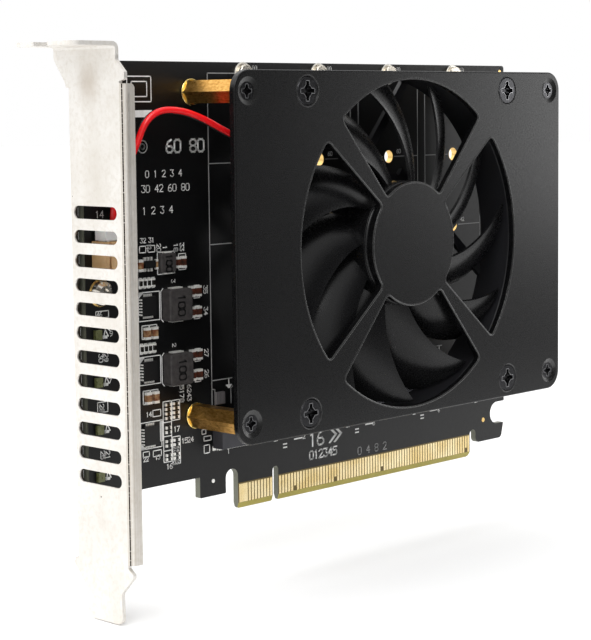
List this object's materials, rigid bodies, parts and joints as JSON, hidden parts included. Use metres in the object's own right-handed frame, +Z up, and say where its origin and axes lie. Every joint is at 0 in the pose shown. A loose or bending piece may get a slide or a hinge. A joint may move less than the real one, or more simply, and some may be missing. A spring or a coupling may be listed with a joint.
{
  "type": "nvme adapter card",
  "caption": "Expansion card that holds solid-state drives side by side under a slim fan, with a keyed edge connector and a vented slot bracket.",
  "frame": {"origin": "on the board's component face, level with the bottom of the edge tongue, in line with its key notch", "axes": "+X along the card from bracket to far end, +Y from the component face to the back, +Z up from the slot"},
  "size_m": [0.1555, 0.0242, 0.12],
  "materials": {
    "board_laminate": "black solder mask over glass laminate, satin",
    "contact_gold": "gold flash over nickel",
    "bracket_steel": "nickel-plated mild steel, satin",
    "screw_steel": "nickel-plated steel",
    "plate_coating": "fine-texture black powder coat",
    "standoff_brass": "turned brass",
    "black_screw": "black oxide",
    "frame_plastic": "moulded glass-filled polyester, satin",
    "rotor_plastic": "moulded polyester, semi-gloss",
    "yoke_steel": "bare steel",
    "magnet_ferrite": "bonded ferrite",
    "shaft_steel": "ground steel",
    "bearing_bronze": "sintered bronze",
    "coil_copper": "enamelled copper wire",
    "socket_plastic": "moulded liquid crystal polymer",
    "tinned_metal": "tin plate and solder",
    "post_steel": "tin-plated brass",
    "header_nylon": "natural nylon",
    "red_insulation": "PVC insulation",
    "black_insulation": "PVC insulation",
    "choke_body": "moulded iron powder",
    "chip_body": "moulded epoxy",
    "capacitor_body": "fired ceramic",
    "resistor_body": "glass-coated alumina",
    "lamp_lens": "clear epoxy over phosphor"
  },
  "bodies": {
    "card": {"circuit_board": "board_laminate", "edge_contacts_front": "contact_gold", "edge_contacts_back": "contact_gold", "bracket": "bracket_steel", "bracket_screws": "screw_steel", "fan_plate": "plate_coating", "standoff_1": "standoff_brass", "standoff_2": "standoff_brass", "standoff_3": "standoff_brass", "standoff_4": "standoff_brass", "plate_screws": "black_screw", "standoff_screws": "screw_steel", "fan_screws": "black_screw", "fan_frame": "frame_plastic", "fan_bearing": "bearing_bronze", "stator_core": "yoke_steel", "stator_coils": "coil_copper", "fan_circuit_board": "board_laminate", "m2_socket_1": "socket_plastic", "m2_socket_2": "socket_plastic", "m2_socket_3": "socket_plastic", "m2_socket_4": "socket_plastic", "m2_socket_tails": "tinned_metal", "m2_posts": "post_steel", "fan_header": "header_nylon", "header_pins": "contact_gold", "fan_plug": "header_nylon", "red_lead": "red_insulation", "black_lead": "black_insulation", "choke_upper": "choke_body", "choke_lower": "choke_body", "choke_small": "choke_body", "choke_terminals": "tinned_metal", "regulators": "chip_body", "controller": "chip_body", "controller_leads": "tinned_metal", "capacitors": "capacitor_body", "resistors": "resistor_body", "chip_ends": "tinned_metal", "status_lights": "lamp_lens", "lane_switches": "chip_body"},
    "rotor": {"fan_rotor": "rotor_plastic", "rotor_yoke": "yoke_steel", "rotor_magnet": "magnet_ferrite", "rotor_shaft": "shaft_steel"}
  },
  "joints": [
    {"name": "fan_spin", "type": "hinge", "parent": "card", "child": "rotor", "pos_m": [0.02903, -0.012, 0.0589], "axis": [0, -1, 0], "continuous": true}
  ]
}
